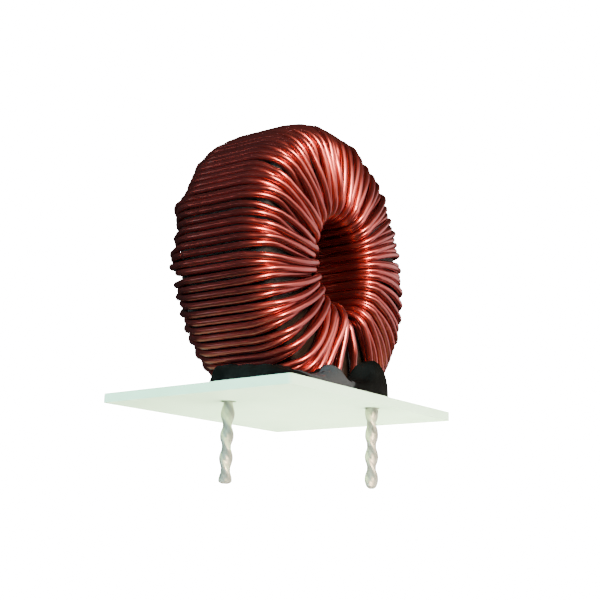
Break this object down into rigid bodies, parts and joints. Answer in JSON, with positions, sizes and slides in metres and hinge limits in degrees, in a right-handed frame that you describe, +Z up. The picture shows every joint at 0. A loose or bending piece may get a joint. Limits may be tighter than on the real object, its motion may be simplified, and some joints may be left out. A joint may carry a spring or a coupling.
{
  "type": "toroidal inductor",
  "caption": "Upright toroidal power inductor: a bifilar winding on a ring core, bedded in adhesive on a plate with twisted leads below.",
  "frame": {"origin": "middle of the base plate's underside", "axes": "+X along the coil's axis, towards the face with the finish lead; +Y along the plate's width, away from the start lead; +Z up from the plate towards the coil"},
  "size_m": [0.041, 0.0552, 0.0675],
  "materials": {
    "core_coat": "satin",
    "enamelled_copper": "gloss",
    "tinned_copper": "satin",
    "glass_epoxy": "matte",
    "black_adhesive": "satin"
  },
  "bodies": {
    "root": {"core": "core_coat", "wire_a": "enamelled_copper", "wire_b": "enamelled_copper", "start_lead": "tinned_copper", "finish_lead": "tinned_copper", "base_plate": "glass_epoxy", "adhesive": "black_adhesive"}
  },
  "joints": []
}
